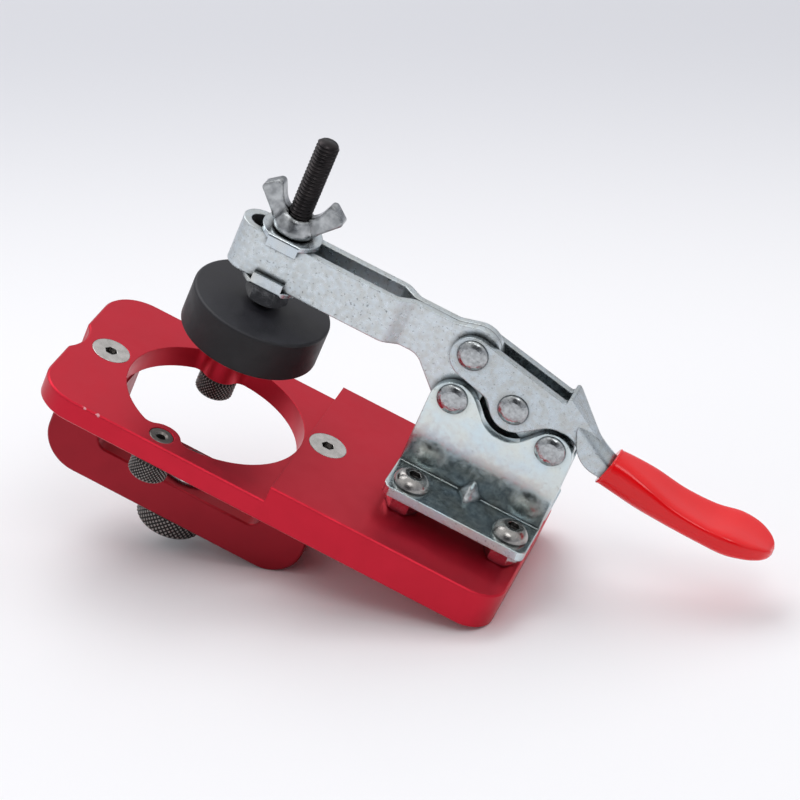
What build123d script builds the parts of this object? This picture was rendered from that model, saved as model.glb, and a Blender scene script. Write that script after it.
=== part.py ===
from build123d import *

from math import acos, asin, atan2, cos, degrees, hypot, radians, sin
import os

os.makedirs("parts", exist_ok=True)

# Hinge drilling jig, in millimetres. It is drawn in the plate's own frame: x runs along the
# plate, towards the handle, z stands on the plate, and the origin is the centre of the big hole,
# on the face that lies on the door. At the end every piece is tilted as the jig rests.

# Base plate
plate_length = 127.0
plate_width = 58.0
plate_thin = 6.0
plate_rise = 4.5
plate_front = -39.6
step_x = 24.7
hole_diameter = 47.6
front_corner = 10.5
rear_corner = 8.0
notch_width = 13.0
notch_depth = 2.0
notch_corner = 1.2
edge_break = 0.4

# Pilot bushings, on the screw pattern of a cup hinge
pilot_spacing = 48.0
pilot_setback = 6.0
pilot_bore = 2.4
pilot_body = 6.4
pilot_head = 10.2
pilot_head_height = 5.7
boss_radius = 5.0
boss_blend = 3.0

# Guide bridge under the hole
bridge_length = 73.0
bridge_width = 20.0
bridge_depth = 25.7
bridge_corner = 10.0
bar_thickness = 10.5
window_length = 46.6
window_corner = 3.0

# Guide bush for the drill's shank, and its knurled collar
guide_bore = 8.1
guide_body = 12.0
guide_flange = 15.4
guide_flange_thickness = 1.2
collar_diameter = 17.9
collar_height = 6.1
collar_chamfer = 0.6
bush_end_recess = 0.8

# Countersunk screws that hold the bridge
bridge_screw_spacing = 60.5
bridge_screw_diameter = 5.0
bridge_screw_head = 10.0
bridge_screw_bite = 10.0
bridge_screw_socket = 3.0
bridge_screw_socket_depth = 1.9

# Toggle clamp: a folded arm and a link between two sheet walls
clamp_y = 3.5
arm_sheet = 2.0
arm_leaf_gap = 0.2
layer_gap = 0.1
handle_sheet = 2.0
base_sheet = 2.5
pivot_a = (53.9, 34.0)
lever_length = 13.3
link_pin = (14.7, 4.85)
link_run = (12.6, -5.35)

# Points of the clamp are given from a pin, as (along, up) or (along, up, radius)
pivot_b = (pivot_a[0], pivot_a[1] + lever_length)
pivot_c = (pivot_a[0] + link_pin[0], pivot_a[1] + link_pin[1])
pivot_d = (pivot_c[0] + link_run[0], pivot_c[1] + link_run[1])

# Clamp base
base_ahead_of_a = 5.7
base_behind_d = 6.2
base_lift = 4.7
flange_reach = 14.1
flange_corner = 2.5
fold_radius = 3.0
base_lobe_a = (0.6, -1.7, 6.3)
base_saddle = (0.85, 3.65, -7.6)
base_lobe_d = (0.3, -1.0, 5.6)
gusset_width = 6.5
gusset_height = 3.9
gusset_reach = 5.7

# Screws and spacer nuts under the clamp base
base_screw_inset = 5.85
base_screw_row = 12.6
base_screw_diameter = 5.0
base_screw_head = 9.5
base_screw_head_height = 2.75
base_screw_socket = 3.0
base_screw_socket_depth = 1.4
base_screw_bite = 8.5
base_slot_width = 5.6
base_slot_length = 8.0
spacer_flats = 8.0

# Clamp arm
arm_bottom = 39.4
arm_height = 12.6
arm_gap = 6.15
arm_loop_x = -7.4
arm_joggle_start = -23.4
arm_joggle_end = -17.4
arm_bend = 2.0
arm_throat = -15.1
arm_throat_radius = 5.0
arm_lobe_a = 5.9
arm_lobe_b = 6.5
arm_top_blend = -7.4
arm_top_blend_radius = 3.0

# Handle, its stem and its dipped grip
handle_lobe_b = (0.2, -1.0, 5.8)
handle_hollow = (5.3, 1.0, -3.8)
handle_lobe_c = (0.0, 0.0, 6.2)
handle_clear_d = (0.0, -0.6, -6.4)
stem_under_bend = (12.6, 6.9, 8.0)
stem_over_bend = (26.8, 31.7, -30.0)
stem_end = (45.8, -1.1)
stem_end_height = 5.2
stem_root_low = (3.8, 7.5)
stem_root_high = (3.3, 11.0)
web_front = (-0.7, 14.8, 0.7)
web_notch = (-2.2, 14.4, -0.8)
web_thickness = 2.0
stem_width = 6.7
stem_round = 2.6
web_taper = (0.3, 9.8)
slot_taper = (6.3, 12.8)

# Link
link_end_c = 4.8
link_end_d = 5.4

# Rivets
rivet_diameter = 5.0
rivet_head = 8.0
rivet_face = 5.6
rivet_head_height = 1.3
rivet_shoulder = 0.35

# Spindle, pad, nuts and tabbed washers
spindle_x = 0.3
spindle_diameter = 5.9
spindle_top = 79.7
spindle_chamfer = 0.8
pad_diameter = 36.1
pad_height = 11.2
pad_bottom = 20.2
pad_edge = 0.7
spindle_socket = 8.5
washer_diameter = 15.6
washer_thickness = 1.4
washer_bore = 6.4
washer_tab = 2.2
nut_flats = 10.0
nut_height = 5.0
wing_hub_diameter = 10.8
wing_hub_top = 8.4
wing_hub_height = 5.0
wing_hub_round = 0.8
wing_foot = (4.2, 1.0, 1.0)
wing_under = (9.2, 1.0, -3.2)
wing_tip_low = (9.9, 8.2, 1.1)
wing_tip_high = (7.3, 10.4, 1.1)
wing_valley = (0.0, 10.2, -5.6)
wing_thickness = 3.2

# Fits: a turning pin, a thread, a loose screw hole and a sliding face
running_fit = 0.05
thread_fit = 0.05
slide_gap = 0.05
tab_gap = 0.15

# How far a cutting shape runs on past the piece that it cuts
overrun = 20.0

plate_rear = plate_front + plate_length
bridge_bottom = -plate_thin - bridge_depth
bar_top = bridge_bottom + bar_thickness
inner_half = arm_sheet + arm_leaf_gap / 2
layer_inner = inner_half + layer_gap
handle_outer = layer_inner + handle_sheet
base_outer = layer_inner + base_sheet
base_bottom = plate_rise + base_lift
flange_top = base_bottom + base_sheet
base_front = pivot_a[0] - base_ahead_of_a
base_rear = pivot_d[0] + base_behind_d
arm_top = arm_bottom + arm_height
arm_outer = arm_gap / 2 + arm_sheet


def at(pin, place):
    """A place given from a pin, as plate coordinates; a radius after them stays."""
    return (pin[0] + place[0], pin[1] + place[1], *place[2:])


def heading(centre, point):
    """Angle in degrees from a centre to a point."""
    return degrees(atan2(point[1] - centre[1], point[0] - centre[0]))


def tangent_points(first, second):
    """Ends of the line that runs from one circle of a belt to the next."""
    run = (second[0] - first[0], second[1] - first[1])
    turn = atan2(run[1], run[0]) - acos((first[2] - second[2]) / hypot(*run))
    away = (cos(turn), sin(turn))
    leave = (first[0] + first[2] * away[0], first[1] + first[2] * away[1])
    arrive = (second[0] + second[2] * away[0], second[1] + second[2] * away[1])
    return leave, arrive


def belt(rounds):
    """Draw an outline anticlockwise round circles given as (x, y, radius).

    A positive radius is an outer corner, a negative one an inner corner, zero a sharp one.
    """
    count = len(rounds)
    runs = [tangent_points(rounds[i], rounds[(i + 1) % count]) for i in range(count)]
    with BuildLine() as outline:
        for i, (leave, arrive) in enumerate(runs):
            Line(leave, arrive)
            corner = rounds[(i + 1) % count]
            next_leave = runs[(i + 1) % count][0]
            if corner[2]:
                start = heading(corner, arrive)
                sweep = (heading(corner, next_leave) - start) % 360
                if corner[2] < 0:
                    sweep -= 360
                CenterArc(corner[:2], abs(corner[2]), start, sweep)
    make_face(outline.edges())


def side_plane(y):
    """A plane parallel to the clamp's walls: local x along the plate, local y up."""
    return Plane.XZ.offset(-y)


def upright_plane(x, y, z):
    """A plane that holds an upright axis: its origin at the point, local x along the plate, y up."""
    return Plane(origin=(x, y, z), x_dir=(1, 0, 0), z_dir=(0, -1, 0))


def level_plane(x, y, z):
    """A plane that holds a rivet's axis: its origin at the point, local y across the plate."""
    return Plane(origin=(x, y, z), x_dir=(1, 0, 0), z_dir=(0, 0, 1))


clamp_mid = side_plane(clamp_y)

# The jig rests on the plate's rear lower edge and on the bridge's rounded lower corner.
foot = (bridge_length / 2 - bridge_corner, bridge_bottom + bridge_corner)
reach = (plate_rear - edge_break - foot[0], -plate_thin - foot[1])
rest_angle = atan2(reach[1], reach[0]) + asin(bridge_corner / hypot(*reach))
rest = Location((0, 0, 0), (0, degrees(rest_angle), 0))
pieces = {}


def keep(solid, name):
    """Tilt a finished piece as the jig rests, and keep it under its name."""
    pieces[name] = solid.moved(rest)


pilot_places = [(-pilot_setback, side * pilot_spacing / 2) for side in (-1, 1)]
bridge_screw_places = [(-bridge_screw_spacing / 2, 0), (bridge_screw_spacing / 2, plate_rise)]
base_middle = (base_front + base_rear) / 2
base_screw_reach = base_rear - base_middle - base_screw_inset
base_screw_places = [
    (base_middle + along * base_screw_reach, clamp_y + across * base_screw_row)
    for along in (-1, 1)
    for across in (-1, 1)
]

with BuildPart() as base_plate:
    with BuildSketch(Plane.XY.offset(-plate_thin)) as plate_outline:
        with Locations(((plate_front + plate_rear) / 2, 0)):
            Rectangle(plate_length, plate_width)
        fillet(plate_outline.vertices().group_by(Axis.X)[0], front_corner)
        fillet(plate_outline.vertices().group_by(Axis.X)[-1], rear_corner)
        notch_radius = (notch_width**2 / 4 + notch_depth**2) / (2 * notch_depth)
        with Locations((plate_front + notch_depth - notch_radius, 0)):
            Circle(notch_radius, mode=Mode.SUBTRACT)
        notch_ends = plate_outline.vertices().filter_by(
            lambda v: abs(v.X - plate_front) < 0.01 and abs(v.Y) < notch_width / 2 + 0.01
        )
        fillet(notch_ends, notch_corner)
    extrude(amount=plate_thin + plate_rise)
    with BuildSketch(Plane.XY):
        with Locations((step_x, 0)):
            Rectangle(plate_length, plate_width, align=(Align.MAX, Align.CENTER))
    extrude(amount=plate_rise, mode=Mode.SUBTRACT)
    outer_faces = base_plate.faces().filter_by(Axis.Z)
    rims = outer_faces.edges().filter_by(lambda e: abs(e.center().X - step_x) > edge_break)
    chamfer(rims, edge_break)
    with BuildSketch(Plane.XY) as opening:
        Circle(hole_diameter / 2)
        with Locations(*pilot_places):
            Circle(boss_radius, mode=Mode.SUBTRACT)
        fillet(opening.vertices(), boss_blend)
    extrude(amount=-plate_thin, mode=Mode.SUBTRACT)
    with Locations(*[(x, y, 0) for x, y in pilot_places]):
        Hole(pilot_body / 2 + running_fit, plate_thin)
    with Locations(*[(x, 0, z) for x, z in bridge_screw_places]):
        CounterSinkHole(bridge_screw_diameter / 2 + thread_fit, bridge_screw_head / 2 + thread_fit,
                        plate_thin + plate_rise, 90)
    with Locations(*[(x, y, plate_rise) for x, y in base_screw_places]):
        Hole(base_screw_diameter / 2 + thread_fit, plate_thin + plate_rise)
keep(base_plate.part, "base_plate")

with BuildPart() as guide_bridge:
    with BuildSketch(Plane.XZ) as bridge_side:
        with Locations((0, -plate_thin)):
            Rectangle(bridge_length, bridge_depth, align=(Align.CENTER, Align.MAX))
            Rectangle(window_length, bridge_depth - bar_thickness,
                      align=(Align.CENTER, Align.MAX), mode=Mode.SUBTRACT)
        fillet(bridge_side.vertices().group_by(Axis.Y)[0], bridge_corner)
        window_corners = bridge_side.vertices().filter_by(
            lambda v: abs(v.Y - bar_top) < 0.01 and abs(v.X) < bridge_length / 2 - 1
        )
        fillet(window_corners, window_corner)
    extrude(amount=bridge_width / 2, both=True)
    side_rims = guide_bridge.faces().filter_by(Axis.Y).edges()
    chamfer(side_rims.filter_by(lambda e: e.center().Z < -plate_thin - 0.1), edge_break)
    with Locations((0, 0, bar_top)):
        Hole(guide_body / 2, bar_thickness)
    with Locations(*[(x, 0, -plate_thin) for x, z in bridge_screw_places]):
        Hole(bridge_screw_diameter / 2 + thread_fit, bridge_screw_bite + 1)
keep(guide_bridge.part, "guide_bridge")

for number, (x, top) in enumerate(bridge_screw_places, 1):
    head_depth = (bridge_screw_head - bridge_screw_diameter) / 2
    end = -plate_thin - bridge_screw_bite
    shank = bridge_screw_diameter / 2
    with BuildPart() as bridge_screw:
        with BuildSketch(upright_plane(x, 0, top)):
            with BuildLine():
                Polyline((0, 0), (bridge_screw_head / 2, 0), (shank, -head_depth),
                         (shank, end - top + 0.5), (shank - 0.5, end - top), (0, end - top),
                         close=True)
            make_face()
        revolve(axis=Axis((x, 0, 0), (0, 0, 1)))
        with BuildSketch(Plane.XY.offset(top)):
            with Locations((x, 0)):
                RegularPolygon(bridge_screw_socket / 2, 6, major_radius=False)
        extrude(amount=-bridge_screw_socket_depth, mode=Mode.SUBTRACT)
    keep(bridge_screw.part, f"bridge_screw_{number}")

bush_end = bridge_bottom - collar_height + bush_end_recess
with BuildPart() as guide_bush:
    with BuildSketch(Plane.XZ):
        with BuildLine():
            Polyline((guide_bore / 2, bar_top + guide_flange_thickness),
                     (guide_flange / 2, bar_top + guide_flange_thickness),
                     (guide_flange / 2, bar_top), (guide_body / 2, bar_top),
                     (guide_body / 2, bush_end), (guide_bore / 2, bush_end), close=True)
        make_face()
    revolve(axis=Axis.Z)
    chamfer(guide_bush.edges().filter_by(GeomType.CIRCLE).group_by(Axis.Z)[-1].sort_by(SortBy.RADIUS)[-1],
            guide_flange_thickness / 3)
keep(guide_bush.part, "guide_bush")

with BuildPart() as knurled_collar:
    with BuildSketch(Plane.XY.offset(bridge_bottom - slide_gap)):
        Circle(collar_diameter / 2)
        Circle(guide_body / 2 + thread_fit, mode=Mode.SUBTRACT)
    extrude(amount=-collar_height)
    chamfer(knurled_collar.edges().filter_by(GeomType.CIRCLE).sort_by(SortBy.RADIUS)[-2:],
            collar_chamfer)
keep(knurled_collar.part, "knurled_collar")

for name, (x, y) in zip(("pilot_bushing_near", "pilot_bushing_far"), pilot_places):
    head_top = -plate_thin - slide_gap
    head_end = head_top - pilot_head_height
    with BuildPart() as pilot_bushing:
        with BuildSketch(upright_plane(x, y, 0)):
            with BuildLine():
                Polyline((pilot_bore / 2, -0.5), (pilot_bore / 2 + 0.5, 0),
                         (pilot_body / 2 - 0.3, 0), (pilot_body / 2, -0.3),
                         (pilot_body / 2, head_top), (pilot_head / 2 - collar_chamfer, head_top),
                         (pilot_head / 2, head_top - collar_chamfer),
                         (pilot_head / 2, head_end + collar_chamfer),
                         (pilot_head / 2 - collar_chamfer, head_end), (pilot_bore / 2, head_end),
                         close=True)
            make_face()
        revolve(axis=Axis((x, y, 0), (0, 0, 1)))
    keep(pilot_bushing.part, name)

between_pins = ((pivot_a[0] + pivot_d[0]) / 2, (pivot_a[1] + pivot_d[1]) / 2)
with BuildPart() as clamp_base_near:
    with BuildSketch(side_plane(clamp_y - layer_inner)):
        belt([(base_front, base_bottom, 0), (base_rear, base_bottom, 0),
              at(pivot_d, base_lobe_d), at(between_pins, base_saddle), at(pivot_a, base_lobe_a)])
    extrude(amount=base_sheet)
    with BuildSketch(Plane.XY.offset(base_bottom)) as flange:
        with Locations((base_front, clamp_y - layer_inner)):
            Rectangle(base_rear - base_front, base_sheet + flange_reach,
                      align=(Align.MIN, Align.MAX))
        fillet(flange.vertices().group_by(Axis.Y)[0], flange_corner)
    extrude(amount=base_sheet)
    fold_edge = clamp_base_near.edges().filter_by(Axis.X).group_by(Axis.Z)[0].sort_by(Axis.Y)[-1]
    fillet(fold_edge, min(fold_radius, base_sheet * 1.2))
    wall_face = clamp_y - layer_inner - base_sheet
    with BuildSketch(Plane.XY.offset(flange_top)) as gusset_foot:
        with BuildLine():
            Polyline((base_middle - gusset_width / 2, wall_face), (base_middle, wall_face - gusset_reach),
                     (base_middle + gusset_width / 2, wall_face), close=True)
        make_face()
    loft(sections=[gusset_foot.sketch.faces()[0], Vertex(base_middle, wall_face, flange_top + gusset_height)])
    with Locations(*[Location((x, clamp_y - layer_inner, z), (90, 0, 0)) for x, z in (pivot_a, pivot_d)]):
        Hole(rivet_diameter / 2, base_sheet)
    with BuildSketch(Plane.XY.offset(base_bottom)):
        near_row = [place for place in base_screw_places if place[1] < clamp_y]
        with Locations(*near_row):
            SlotOverall(base_slot_length, base_slot_width, rotation=90)
    extrude(amount=base_sheet, mode=Mode.SUBTRACT)
keep(clamp_base_near.part, "clamp_base_near")

with BuildPart() as clamp_base_far:
    mirror(clamp_base_near.part, about=clamp_mid)
keep(clamp_base_far.part, "clamp_base_far")

for number, (x, y) in enumerate(base_screw_places, 1):
    shank = base_screw_diameter / 2
    head = base_screw_head / 2
    end = plate_rise - base_screw_bite
    with BuildPart() as base_screw:
        with BuildSketch(upright_plane(x, y, 0)):
            with BuildLine():
                Line((0, end), (shank - 0.5, end))
                Line((shank - 0.5, end), (shank, end + 0.5))
                Line((shank, end + 0.5), (shank, flange_top))
                Line((shank, flange_top), (head, flange_top))
                rim = Line((head, flange_top), (head, flange_top + 0.4))
                crown = (shank, flange_top + base_screw_head_height)
                ThreePointArc(rim @ 1, (head * 0.86, flange_top + base_screw_head_height * 0.62), crown)
                Line(crown, (0, flange_top + base_screw_head_height))
                Line((0, flange_top + base_screw_head_height), (0, end))
            make_face()
        revolve(axis=Axis((x, y, 0), (0, 0, 1)))
        with BuildSketch(Plane.XY.offset(flange_top + base_screw_head_height)):
            with Locations((x, y)):
                RegularPolygon(base_screw_socket / 2, 6, major_radius=False)
        extrude(amount=-base_screw_socket_depth, mode=Mode.SUBTRACT)
    keep(base_screw.part, f"base_screw_{number}")


def hexagon_nut(flats, height, bore, x, y, bottom):
    """A hexagon nut with turned corners, its axis along z."""
    with BuildPart() as nut:
        with BuildSketch(Plane.XY.offset(bottom)):
            with Locations((x, y)):
                RegularPolygon(flats / 2, 6, major_radius=False)
                Circle(bore / 2, mode=Mode.SUBTRACT)
        extrude(amount=height)
        corner = flats / 2 / cos(radians(30))
        drop = (corner - flats / 2 * 0.95) * sin(radians(30)) / cos(radians(30))
        with BuildSketch(upright_plane(x, y, bottom)):
            with BuildLine():
                Polyline((0, 0), (flats / 2 * 0.95, 0), (corner, drop), (corner, height - drop),
                         (flats / 2 * 0.95, height), (0, height), close=True)
            make_face()
        revolve(axis=Axis((x, y, 0), (0, 0, 1)), mode=Mode.INTERSECT)
    return nut.part


for number, (x, y) in enumerate(base_screw_places, 1):
    nut = hexagon_nut(spacer_flats, base_lift, base_screw_diameter + 2 * thread_fit, x, y, plate_rise)
    keep(nut, f"spacer_nut_{number}")

arm_rear = pivot_a[0] + arm_lobe_b + 2
joggle_out = (pivot_a[0] + arm_joggle_start, arm_outer - arm_bend - arm_sheet, arm_bend + arm_sheet)
joggle_in = (pivot_a[0] + arm_joggle_end, inner_half + arm_bend, -arm_bend)
arm_front = arm_loop_x - arm_outer - 1


def arm_plan(loop, grow):
    """Outline of the arm's strip seen from above; grow moves it from the outer skin inwards."""
    near = [(joggle_out[0], -joggle_out[1], joggle_out[2] - grow),
            (joggle_in[0], -joggle_in[1], joggle_in[2] - grow),
            (arm_rear, -inner_half + grow, 0)]
    far = [(x, -y, radius) for x, y, radius in reversed(near)]
    rounds = [(arm_loop_x, 0, loop)] + near + far
    belt([(x, y + clamp_y, radius) for x, y, radius in rounds])


with BuildPart() as clamp_arm:
    with BuildSketch(Plane.XY.offset(pivot_a[1] - overrun)):
        arm_plan(arm_outer, 0)
    extrude(amount=lever_length + 2 * overrun)
    with BuildSketch(Plane.XY.offset(pivot_a[1] - overrun)):
        arm_plan(arm_gap / 2, arm_sheet)
    extrude(amount=lever_length + 2 * overrun, mode=Mode.SUBTRACT)
    with BuildSketch(clamp_mid):
        belt([(arm_front, arm_bottom, 0),
              (pivot_a[0] + arm_throat, arm_bottom - arm_throat_radius, -arm_throat_radius),
              (*pivot_a, arm_lobe_a), (*pivot_b, arm_lobe_b),
              (pivot_a[0] + arm_top_blend, arm_top + arm_top_blend_radius, -arm_top_blend_radius),
              (arm_front, arm_top, 0)])
    extrude(amount=arm_outer + 1, both=True, mode=Mode.INTERSECT)
    with Locations(*[Location((x, clamp_y, z), (90, 0, 0)) for x, z in (pivot_a, pivot_b)]):
        Hole(rivet_diameter / 2 + running_fit, 4 * arm_sheet)
keep(clamp_arm.part, "clamp_arm")

stem_half = stem_width / 2
stem_tip = at(pivot_d, stem_end)
under_bend = at(pivot_d, stem_under_bend)
over_bend = at(pivot_d, stem_over_bend)
stem_ends = [(stem_tip[0], stem_tip[1] + side * stem_end_height / 2, 0) for side in (-1, 1)]

with BuildPart() as stem:
    with BuildSketch(clamp_mid):
        belt([at(pivot_d, (*stem_root_low, 0)), under_bend, *stem_ends, over_bend,
              at(pivot_d, (*stem_root_high, 0))])
    extrude(amount=stem_half, both=True)
    top_faces = stem.faces().filter_by(lambda f: f.normal_at().Z > 0.3)
    fillet(top_faces.edges().filter_by(lambda e: abs(abs(e.center().Y - clamp_y) - stem_half) < 0.01),
           stem_round)

with BuildPart() as handle_blank:
    with BuildSketch(clamp_mid):
        belt([at(pivot_b, handle_lobe_b), at(pivot_a, handle_hollow), at(pivot_c, handle_lobe_c),
              at(pivot_d, handle_clear_d), under_bend, *stem_ends, over_bend,
              at(pivot_d, web_front), at(pivot_d, web_notch)])
    extrude(amount=handle_outer, both=True)
    with BuildSketch(Plane.XY):
        with BuildLine():
            side = [(pivot_b[0] - overrun, handle_outer), (pivot_d[0] + web_taper[0], handle_outer),
                    (pivot_d[0] + web_taper[1], stem_half / 3)]
            Polyline(*[(x, clamp_y - y) for x, y in side],
                     *[(x, clamp_y + y) for x, y in reversed(side)], close=True)
        make_face()
    extrude(amount=pivot_b[1] + overrun, mode=Mode.INTERSECT)
    add(stem.part)

with BuildPart() as handle_slot:
    with BuildSketch(clamp_mid):
        roof = over_bend[2] - web_thickness
        slot_front = pivot_b[0] - overrun
        slot_end = stem_tip[0] + overrun
        slot_top = pivot_b[1] + overrun
        web_edge = pivot_d[0] + web_front[0] - web_front[2]
        belt([(slot_front, 0, 0), (slot_end, 0, 0), (slot_end, over_bend[1] + roof, 0),
              (over_bend[0], over_bend[1], roof),
              (web_edge, pivot_d[1] + web_front[1] - web_thickness, 0), (web_edge, slot_top, 0),
              (slot_front, slot_top, 0)])
    extrude(amount=layer_inner, both=True)
    with BuildSketch(Plane.XY):
        with BuildLine():
            inside = [(slot_front - 1, layer_inner), (pivot_d[0] + slot_taper[0], layer_inner),
                      (pivot_d[0] + slot_taper[1], stem_half - handle_sheet),
                      (slot_end + 1, stem_half - handle_sheet)]
            Polyline(*[(x, clamp_y - y) for x, y in inside],
                     *[(x, clamp_y + y) for x, y in reversed(inside)], close=True)
        make_face()
    extrude(amount=slot_top + 1, mode=Mode.INTERSECT)

with BuildPart() as handle:
    add(handle_blank.part)
    add(handle_slot.part, mode=Mode.SUBTRACT)
    with Locations(*[Location((x, clamp_y, z), (90, 0, 0)) for x, z in (pivot_b, pivot_c)]):
        Hole(rivet_diameter / 2, 2 * handle_outer)
keep(handle.part, "handle")

# Grip sections from the mouth to the tip: along and up from the stem's tip, half width, half
# height, lean in degrees.
grip_sections = [
    (-31.6, 2.3, 4.9, 4.9, 14),
    (-27.0, 1.8, 5.3, 4.9, 10),
    (-20.4, 1.0, 6.2, 4.6, 5),
    (-12.0, 0.1, 6.8, 3.7, 0),
    (-3.6, 0.0, 7.4, 3.4, 0),
    (3.0, 0.7, 8.2, 3.7, 0),
    (8.0, 1.3, 7.4, 3.1, 0),
    (11.4, 1.5, 5.4, 2.4, 0),
    (13.3, 1.6, 3.2, 1.6, 0),
]
with BuildPart() as grip:
    for along, up, half_width, half_height, grip_lean in grip_sections:
        x, z = at(stem_tip, (along, up))
        ahead = (cos(radians(grip_lean)), 0, -sin(radians(grip_lean)))
        with BuildSketch(Plane(origin=(x, clamp_y, z), x_dir=(0, 1, 0), z_dir=ahead)):
            RectangleRounded(2 * half_width, 2 * half_height, half_height * 0.94)
    loft()
    add(handle_blank.part, mode=Mode.SUBTRACT)
    fillet(grip.faces().sort_by(Axis.X)[-1].edges(), 0.7)
keep(grip.part, "grip")

with BuildPart() as link:
    with BuildSketch(clamp_mid):
        belt([(*pivot_c, link_end_c), (*pivot_d, link_end_d)])
    extrude(amount=inner_half, both=True)
    with Locations(*[Location((x, clamp_y, z), (90, 0, 0)) for x, z in (pivot_c, pivot_d)]):
        Hole(rivet_diameter / 2 + running_fit, 4 * arm_sheet)
keep(link.part, "link")


def rivet(name, pivot, stack_half):
    """A rivet through both walls, with a raised head on each side."""
    x, z = pivot
    shank = rivet_diameter / 2
    head = stack_half + rivet_head_height
    with BuildPart() as piece:
        with BuildSketch(level_plane(x, clamp_y, z)):
            with BuildLine():
                Polyline((0, -head), (rivet_face / 2, -head), (rivet_head / 2, -stack_half),
                         (shank, -stack_half), (shank, stack_half), (rivet_head / 2, stack_half),
                         (rivet_face / 2, head), (0, head), close=True)
            make_face()
        revolve(axis=Axis((x, clamp_y, z), (0, 1, 0)))
        rings = piece.edges().filter_by(GeomType.CIRCLE).group_by(Axis.Y)
        fillet(rings[0] + rings[-1], rivet_shoulder)
    keep(piece.part, name)


rivet("arm_rivet", pivot_a, base_outer)
rivet("handle_rivet", pivot_b, handle_outer)
rivet("base_rivet", pivot_d, base_outer)

for name, side in (("link_rivet_near", -1), ("link_rivet_far", 1)):
    x, z = pivot_c
    with BuildPart() as link_rivet:
        with BuildSketch(level_plane(x, clamp_y, z)):
            with BuildLine():
                head = side * (handle_outer + rivet_head_height)
                Polyline((0, side * layer_inner), (rivet_diameter / 2, side * layer_inner),
                         (rivet_diameter / 2, side * handle_outer), (rivet_head / 2, side * handle_outer),
                         (rivet_face / 2, head), (0, head), close=True)
            make_face()
        revolve(axis=Axis((x, clamp_y, z), (0, 1, 0)))
        rings = link_rivet.edges().filter_by(GeomType.CIRCLE).group_by(Axis.Y)
        fillet(rings[-1] if side > 0 else rings[0], rivet_shoulder)
    keep(link_rivet.part, name)

pad_top = pad_bottom + pad_height
with BuildPart() as spindle:
    with BuildSketch(Plane.XY.offset(pad_top - spindle_socket)):
        with Locations((spindle_x, clamp_y)):
            Circle(spindle_diameter / 2)
    extrude(amount=spindle_top - pad_top + spindle_socket)
    chamfer(spindle.edges().group_by(Axis.Z)[-1], spindle_chamfer)
keep(spindle.part, "spindle")

with BuildPart() as pad:
    with BuildSketch(Plane.XY.offset(pad_bottom)):
        with Locations((spindle_x, clamp_y)):
            Circle(pad_diameter / 2)
    extrude(amount=pad_height)
    fillet(pad.edges().filter_by(GeomType.CIRCLE), pad_edge)
    with Locations((spindle_x, clamp_y, pad_top)):
        Hole(spindle_diameter / 2, spindle_socket)
keep(pad.part, "pad")

tab_inner = arm_outer + tab_gap
tab_outer = tab_inner + washer_thickness


def tabbed_washer(name, face, side):
    """A round washer with two tabs that straddle the arm; side is +1 above it, -1 below."""
    with BuildPart() as washer:
        with BuildSketch(Plane.XY.offset(face)):
            with Locations((spindle_x, clamp_y)):
                Circle(washer_diameter / 2)
                Rectangle(washer_diameter, 2 * tab_outer, mode=Mode.INTERSECT)
        extrude(amount=side * washer_thickness)
        chord = 2 * (washer_diameter**2 / 4 - tab_outer**2) ** 0.5
        with BuildSketch(Plane.XY.offset(face)):
            for edge in (-1, 1):
                with Locations((spindle_x, clamp_y + edge * (tab_inner + tab_outer) / 2)):
                    Rectangle(chord, washer_thickness)
        extrude(amount=-side * washer_tab)
        with BuildSketch(Plane.XY.offset(face)):
            with Locations((spindle_x, clamp_y)):
                Circle(washer_bore / 2)
        extrude(amount=side * washer_thickness, mode=Mode.SUBTRACT)
        folds = washer.edges().filter_by(Axis.X).filter_by(
            lambda e: abs(abs(e.center().Y - clamp_y) - tab_outer) < 0.01
            and abs(e.center().Z - face - side * washer_thickness) < 0.01
        )
        fillet(folds, washer_thickness * 0.6)
    keep(washer.part, name)


tabbed_washer("upper_washer", arm_top + slide_gap, 1)
tabbed_washer("lower_washer", arm_bottom - slide_gap, -1)

nut_top = arm_bottom - slide_gap - washer_thickness - slide_gap
hex_nut = hexagon_nut(nut_flats, nut_height, spindle_diameter + 2 * thread_fit, spindle_x, clamp_y,
                      nut_top - nut_height)
keep(hex_nut, "hex_nut")

wing_base = arm_top + slide_gap + washer_thickness + slide_gap
with BuildPart() as wing_nut:
    with BuildSketch(upright_plane(spindle_x, clamp_y, wing_base)) as hub:
        with BuildLine():
            Polyline((0, 0), (wing_hub_diameter / 2, 0), (wing_hub_diameter / 2, wing_hub_height * 0.35),
                     (wing_hub_top / 2, wing_hub_height), (0, wing_hub_height), close=True)
        make_face()
        fillet(hub.vertices().sort_by(Axis.X)[-3:], wing_hub_round)
    revolve(axis=Axis((spindle_x, clamp_y, 0), (0, 0, 1)))
    right_side = [wing_foot, wing_under, wing_tip_low, wing_tip_high]
    left_side = [(-x, z, radius) for x, z, radius in reversed(right_side)]
    with BuildSketch(upright_plane(spindle_x, clamp_y, wing_base)):
        belt(right_side + [wing_valley] + left_side)
    extrude(amount=wing_thickness / 2, both=True)
    with Locations((spindle_x, clamp_y, wing_base + wing_hub_height)):
        Hole(spindle_diameter / 2 + thread_fit, wing_hub_height)
    with BuildSketch(Plane.XY.offset(wing_base)):
        with Locations((spindle_x, clamp_y)):
            Circle(spindle_diameter / 2 + thread_fit)
    extrude(amount=wing_tip_high[1] + wing_hub_height, mode=Mode.SUBTRACT)
keep(wing_nut.part, "wing_nut")

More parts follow.
